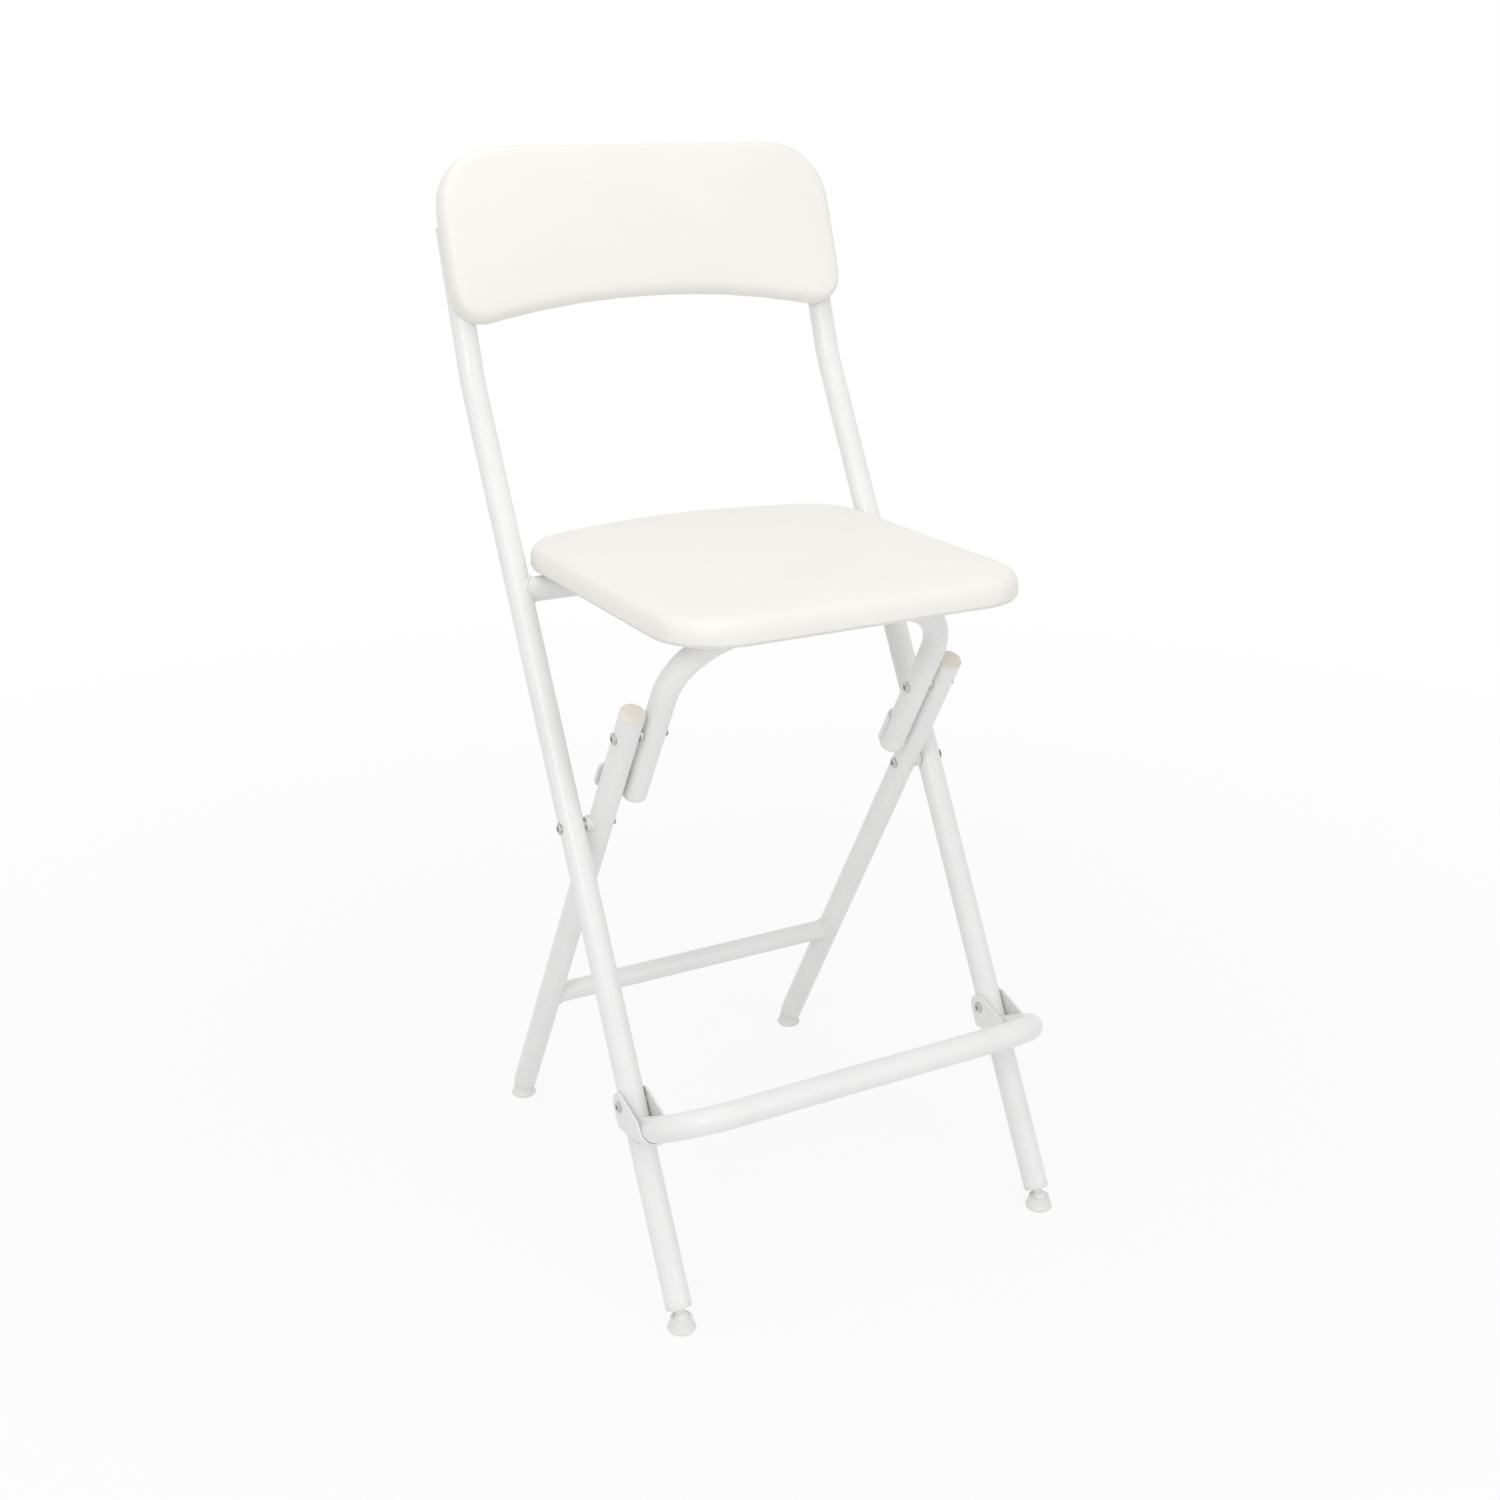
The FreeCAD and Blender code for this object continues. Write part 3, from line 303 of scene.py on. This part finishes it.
def puffCover(cushion, settings):
    # the cover is blown up as cloth: stapled firmly at the hem, and held softly elsewhere by dense foam
    remesh = cushion.modifiers.new("evenMesh", "REMESH")
    remesh.mode = "VOXEL"
    remesh.voxel_size = settings["voxel"]
    applyModifiers(cushion)
    rest = [vertex.co.copy() for vertex in cushion.data.vertices]
    stapled = cushion.vertex_groups.new(name="stapled")
    for index, point in enumerate(rest):
        grip = (settings["freeAbove"] - point.z) / (settings["freeAbove"] - settings["heldBelow"])
        stapled.add([index], min(max(grip, settings["foam"]), 1.0), "REPLACE")
    cloth = cushion.modifiers.new("puff", "CLOTH")
    cloth.settings.quality = 6
    cloth.settings.mass = 0.3
    cloth.settings.tension_stiffness = settings["stiffness"]
    cloth.settings.compression_stiffness = settings["stiffness"]
    cloth.settings.bending_stiffness = settings["bending"]
    cloth.settings.use_pressure = True
    cloth.settings.uniform_pressure_force = settings["pressure"]
    cloth.settings.effector_weights.gravity = 0
    cloth.settings.vertex_group_mass = "stapled"
    cloth.collision_settings.use_self_collision = False
    for number in range(1, settings["frames"] + 1):
        scene.frame_set(number)
    applyModifiers(cushion)
    scene.frame_set(1)
    furthest = 0.0
    for vertex, start in zip(cushion.data.vertices, rest):
        move = vertex.co - start
        furthest = max(furthest, move.length)
        if move.length > settings["cap"]:
            vertex.co = start + move.normalized() * settings["cap"]
    print("   ", cushion.name, len(rest), "points, furthest move", round(furthest * 1000, 1), "mm")
    form = bmesh.new()
    form.from_mesh(cushion.data)
    loose = [vertex for vertex, start in zip(form.verts, rest) if start.z > settings["heldBelow"]]
    for _ in range(settings["smoothing"]):
        bmesh.ops.smooth_vert(form, verts=loose, factor=0.5, use_axis_x=True, use_axis_y=True,
                              use_axis_z=True)
    form.to_mesh(cushion.data)
    form.free()
    cushion.vertex_groups.clear()
    finer = cushion.modifiers.new("finer", "SUBSURF")
    finer.levels = 1
    finer.render_levels = 1
    applyModifiers(cushion)


def gatherCorners(form, settings):
    # the cover is gathered round each corner, so its hem is faintly scalloped there
    pleats = settings["pleats"]
    for vertex in form.verts:
        if not 0 <= vertex.co.z < pleats["reach"]:
            continue
        for cornerX, cornerY, radius in pleats["corners"]:
            outward = Vector((vertex.co.x - cornerX, vertex.co.y - cornerY, 0))
            if outward.x * cornerX <= 0 or outward.y * cornerY <= 0:
                continue
            angle = math.atan2(abs(outward.y), abs(outward.x))
            fade = math.sin(2 * angle) * (1 - vertex.co.z / pleats["reach"]) ** 2
            wave = 0.5 + 0.5 * math.sin(2 * math.pi * angle * radius / pleats["pitch"])
            vertex.co -= outward.normalized() * pleats["depth"] * wave * fade
            break


def finishHem(cushion, settings, back):
    # cut the cover at its hem, roll the edge, and sink the recess that the board sits in; the lowest strip
    # of the cover gets painted shade, a near-black finish
    form = bmesh.new()
    form.from_mesh(cushion.data)
    bmesh.ops.translate(form, verts=form.verts, vec=(0, 0, settings["wrap"]))
    bisectAt(form, 0, True)
    for height in settings["hemRows"]:
        bisectAt(form, height)
    gatherCorners(form, settings)
    form.normal_update()
    for vertex in form.verts:
        rise = 1 - max(vertex.co.z, 0) / settings["rollHeight"]
        if rise > 0:
            inward = Vector((vertex.normal.x, vertex.normal.y, 0)).normalized()
            vertex.co -= inward * settings["roll"] * (1 - math.sqrt(1 - rise * rise))
    rimPoints = [vertex for vertex in form.verts if vertex.is_boundary]
    bmesh.ops.remove_doubles(form, verts=rimPoints, dist=0.0003)
    rim = [edge for edge in form.edges if edge.is_boundary]
    under = bmesh.ops.contextual_create(form, geom=rim)["faces"]
    bmesh.ops.inset_individual(form, faces=under, thickness=settings["rim"], use_even_offset=True)
    sunk = bmesh.ops.extrude_face_region(form, geom=under)
    deep = [item for item in sunk["geom"] if isinstance(item, bmesh.types.BMVert)]
    bmesh.ops.translate(form, verts=deep, vec=(0, 0, settings["recess"] + settings["wrap"]))
    bmesh.ops.delete(form, geom=[face for face in under if face.is_valid], context="FACES_ONLY")
    bmesh.ops.recalc_face_normals(form, faces=form.faces)
    bmesh.ops.triangulate(form, faces=[face for face in form.faces if len(face.verts) > 4])
    for face in form.faces:
        face.smooth = True
        # faces in the lowest strip of the cover take the near-black hem finish: painted shade along the
        # rolled lower edge
        face.material_index = int(face.calc_center_median().z < settings["paintedShadeTop"])
    bmesh.ops.translate(form, verts=form.verts, vec=(0, 0, -settings["wrap"]))
    bmesh.ops.transform(form, matrix=back, verts=form.verts)
    for edge in form.edges:
        edge.smooth = edge.calc_face_angle(0) < settings["sharpFrom"]
    form.to_mesh(cushion.data)
    form.free()
    cushion.data.materials.clear()
    cushion.data.materials.append(finishes["cover"])
    cushion.data.materials.append(finishes["hem"])


def makeCushion(settings):
    cushion, back = cutWadding(settings)
    puffCover(cushion, settings)
    finishHem(cushion, settings, back)
    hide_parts(settings["node"])
    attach(cushion, settings["body"])


seatCushion = {
    "name": "seatCushion",
    "node": "seat_pad",
    "body": "seat",
    "tilt": 0,
    "recess": 0.0071,
    "wrap": 0.0,
    "rim": 0.0014,
    "roll": 0.0007,
    "rollHeight": 0.0011,
    "hemRows": (0.0004, 0.0012, 0.0018, 0.003, 0.004),
    # top of the painted shade strip along the hem
    "paintedShadeTop": 0.0017,
    "clearRecess": 0.0015,
    "spare": 0.010,
    "sizing": (1.004, 1.004, 0.93),
    "voxel": 0.006,
    "heldBelow": 0.003,
    "freeAbove": 0.010,
    "foam": 0.03,
    "stiffness": 80.0,
    "bending": 4.0,
    "pressure": 0.3,
    "frames": 20,
    "cap": 0.008,
    "smoothing": 3,
    "fill": 0.85,
    "sharpFrom": 0.9,
    "pleats": {
        "reach": 0.013,
        "pitch": 0.0085,
        "depth": 0.0009,
        "corners": [(-0.109, -0.122, 0.057), (0.109, -0.122, 0.057),
                    (-0.109, 0.086, 0.057), (0.109, 0.086, 0.057)],
    },
}
print("bar stool: puffing the seat cushion")
makeCushion(seatCushion)

backrestCushion = {
    "name": "backrestCushion",
    "node": "backrest_pad",
    "body": "main_frame",
    "tilt": 71,
    "recess": 0.0041,
    "wrap": 0.0018,
    "rim": 0.0014,
    "roll": 0.0007,
    "rollHeight": 0.0011,
    "hemRows": (0.0004, 0.0012, 0.0018, 0.003, 0.004),
    # top of the painted shade strip along the hem
    "paintedShadeTop": 0.0006,
    "clearRecess": 0.0015,
    "spare": 0.008,
    "sizing": (1.013, 1.004, 0.93),
    "voxel": 0.005,
    "heldBelow": 0.002,
    "freeAbove": 0.008,
    "foam": 0.03,
    "stiffness": 80.0,
    "bending": 4.0,
    "pressure": 0.3,
    "frames": 20,
    "cap": 0.005,
    "smoothing": 3,
    "fill": 0.85,
    "sharpFrom": 0.9,
    "pleats": {
        "reach": 0.009,
        "pitch": 0.008,
        "depth": 0.0006,
        "corners": [(-0.134, 0.022, 0.058), (0.134, 0.022, 0.058)],
    },
}
print("bar stool: puffing the backrest cushion")
makeCushion(backrestCushion)


# Weld beads: where a cross tube's end is let into a leg
def addWeldBead(form, weld):
    bmesh.ops.create_circle(form, cap_ends=False, segments=weld["sides"], radius=weld["bead"],
                            matrix=Matrix.Translation((0, weld["tube"], 0)))
    bmesh.ops.spin(form, geom=form.verts[:] + form.edges[:], cent=(0, 0, 0), axis=(1, 0, 0),
                   angle=2 * math.pi, steps=weld["steps"], use_merge=True, use_duplicate=False)
    bmesh.ops.remove_doubles(form, verts=form.verts, dist=0.000001)


def makeWeldBeads(weld):
    form = bmesh.new()
    for side in (-1, 1):
        single = bmesh.new()
        addWeldBead(single, weld)
        across = Vector((0, math.cos(math.radians(weld["lean"])), -math.sin(math.radians(weld["lean"]))))
        for vertex in single.verts:
            angle = math.atan2(vertex.co.z, vertex.co.y)
            spine = Vector((0, math.cos(angle), math.sin(angle))) * weld["tube"]
            ripple = 1 + weld["ripple"] * math.sin(angle * weld["ripples"])
            offset = (vertex.co - spine) * ripple
            sink = math.sqrt(max(weld["leg"] ** 2 - spine.dot(across) ** 2, 0))
            vertex.co = (Vector((side * (weld["legPlace"] - sink), weld["place"][0], weld["place"][1]))
                         + spine + offset)
        bmesh.ops.recalc_face_normals(single, faces=single.faces)
        mesh = bpy.data.meshes.new("bead")
        single.to_mesh(mesh)
        single.free()
        form.from_mesh(mesh)
        bpy.data.meshes.remove(mesh)
    for face in form.faces:
        face.smooth = True
    mesh = bpy.data.meshes.new(weld["name"])
    form.to_mesh(mesh)
    form.free()
    mesh.materials.append(finishes["powder_coat"])
    beads = bpy.data.objects.new(weld["name"], mesh)
    scene.collection.objects.link(beads)
    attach(beads, weld["body"])


crossbarWelds = {
    "name": "crossbarWelds",
    "body": "rear_frame",
    "place": (0.1156, 0.1468),
    "tube": 0.0097,
    "leg": 0.0112,
    "legPlace": 0.154,
    "lean": -30.2,
    "bead": 0.0015,
    "sides": 8,
    "steps": 144,
    "ripple": 0.10,
    "ripples": 30,
}
seatRestWelds = dict(crossbarWelds, name="seatRestWelds", body="main_frame", place=(0.08492, 0.55476),
                     tube=0.0110, leg=0.0113, legPlace=0.1813, lean=28.7)
print("bar stool: laying weld beads")
makeWeldBeads(crossbarWelds)
makeWeldBeads(seatRestWelds)


# Studio: a white room that only the camera, gloss and glass see as pure white
def seenDirectly(tree):
    rays = addNode(tree, "ShaderNodeLightPath")
    joined = rays.outputs["Is Camera Ray"]
    for kind in ("Is Glossy Ray", "Is Transmission Ray"):
        either = addNode(tree, "ShaderNodeMath", operation="MAXIMUM")
        tree.links.new(joined, either.inputs[0])
        tree.links.new(rays.outputs[kind], either.inputs[1])
        joined = either.outputs["Value"]
    return joined


def makeFloorPaint():
    # pale floor that keeps the shadow of the stool
    material, tree, shader = newFinish("paleFloor")
    setInputs(shader, Roughness=0.9, Base_Color=studio["floorColour"], Specular_IOR_Level=0.0)
    glow = addNode(tree, "ShaderNodeEmission")
    setInputs(glow, Color=(1, 1, 1, 1), Strength=1.0)
    distance = addNode(tree, "ShaderNodeVectorMath", operation="LENGTH")
    tree.links.new(ownSpace(tree), distance.inputs[0])
    spread = addNode(tree, "ShaderNodeMapRange")
    setInputs(spread, From_Min=studio["shadowStart"], From_Max=studio["shadowReach"],
              To_Min=studio["floorGlow"], To_Max=1.0)
    tree.links.new(distance.outputs["Value"], spread.inputs["Value"])
    share = addNode(tree, "ShaderNodeMath", operation="MULTIPLY")
    mixed = addNode(tree, "ShaderNodeMixShader")
    tree.links.new(spread.outputs["Result"], share.inputs[1])
    tree.links.new(seenDirectly(tree), share.inputs[0])
    tree.links.new(share.outputs["Value"], mixed.inputs["Fac"])
    tree.links.new(shader.outputs["BSDF"], mixed.inputs[1])
    tree.links.new(glow.outputs["Emission"], mixed.inputs[2])
    tree.links.new(mixed.outputs["Shader"], tree.nodes["Material Output"].inputs["Surface"])
    return material


def makeFloor():
    sheet = bmesh.new()
    bmesh.ops.create_grid(sheet, x_segments=1, y_segments=1, size=studio["floorSize"],
                          matrix=Matrix.Translation((0, 0, -studio["floorDrop"])))
    mesh = bpy.data.meshes.new("studioFloor")
    sheet.to_mesh(mesh)
    sheet.free()
    mesh.materials.append(makeFloorPaint())
    floor = bpy.data.objects.new("studioFloor", mesh)
    scene.collection.objects.link(floor)


def makeRoomLight():
    world = bpy.data.worlds.new("studioRoom")
    world.use_nodes = True
    tree = world.node_tree
    ambient = tree.nodes["Background"]
    setInputs(ambient, Color=(1, 1, 1, 1), Strength=studio["ambient"])
    white = addNode(tree, "ShaderNodeBackground")
    setInputs(white, Color=(1, 1, 1, 1), Strength=1.0)
    mixed = addNode(tree, "ShaderNodeMixShader")
    tree.links.new(seenDirectly(tree), mixed.inputs["Fac"])
    tree.links.new(ambient.outputs["Background"], mixed.inputs[1])
    tree.links.new(white.outputs["Background"], mixed.inputs[2])
    tree.links.new(mixed.outputs["Shader"], tree.nodes["World Output"].inputs["Surface"])
    scene.world = world


def addSoftbox(name, place, size, power):
    lamp = bpy.data.lights.new(name, "AREA")
    lamp.shape = "SQUARE"
    lamp.size = size
    lamp.energy = power
    box = bpy.data.objects.new(name, lamp)
    box.location = place
    box.rotation_euler = (Vector(studio["target"]) - Vector(place)).to_track_quat("-Z", "Y").to_euler()
    scene.collection.objects.link(box)


studio = {
    "floorSize": 60.0,
    "floorDrop": 0.0005,
    "floorColour": (0.85, 0.85, 0.85, 1),
    "floorGlow": 0.86,
    "shadowStart": 0.5,
    "shadowReach": 2.0,
    "ambient": 0.68,
    "target": (0.0, 0.0, 0.45),
    "softboxes": {
        "keyLight": ((-2.0, -1.9, 1.9), 1.0, 15.0),
        "fillLight": ((0.6, -2.8, 1.5), 1.6, 9.0),
        "topLight": ((-0.4, -0.3, 3.0), 1.6, 14.0),
    },
}
print("bar stool: setting up the studio")
makeFloor()
makeRoomLight()
for name, (place, size, power) in studio["softboxes"].items():
    addSoftbox(name, place, size, power)
scene.view_settings.view_transform = "Standard"

photoView = {
    "place": (-0.75018, -1.37241, 0.97514),
    "turn": -28.641,
    "drop": 17.744,
    "lens": 44.641,
    "shiftUp": -0.05,
}
lens = bpy.data.cameras.new("photoCamera")
lens.lens = photoView["lens"]
lens.sensor_width = 36
lens.shift_y = photoView["shiftUp"]
lens.clip_start = 0.05
camera = bpy.data.objects.new("photoCamera", lens)
camera.location = photoView["place"]
camera.rotation_euler = (math.radians(90 - photoView["drop"]), 0, math.radians(photoView["turn"]))
scene.collection.objects.link(camera)
scene.camera = camera
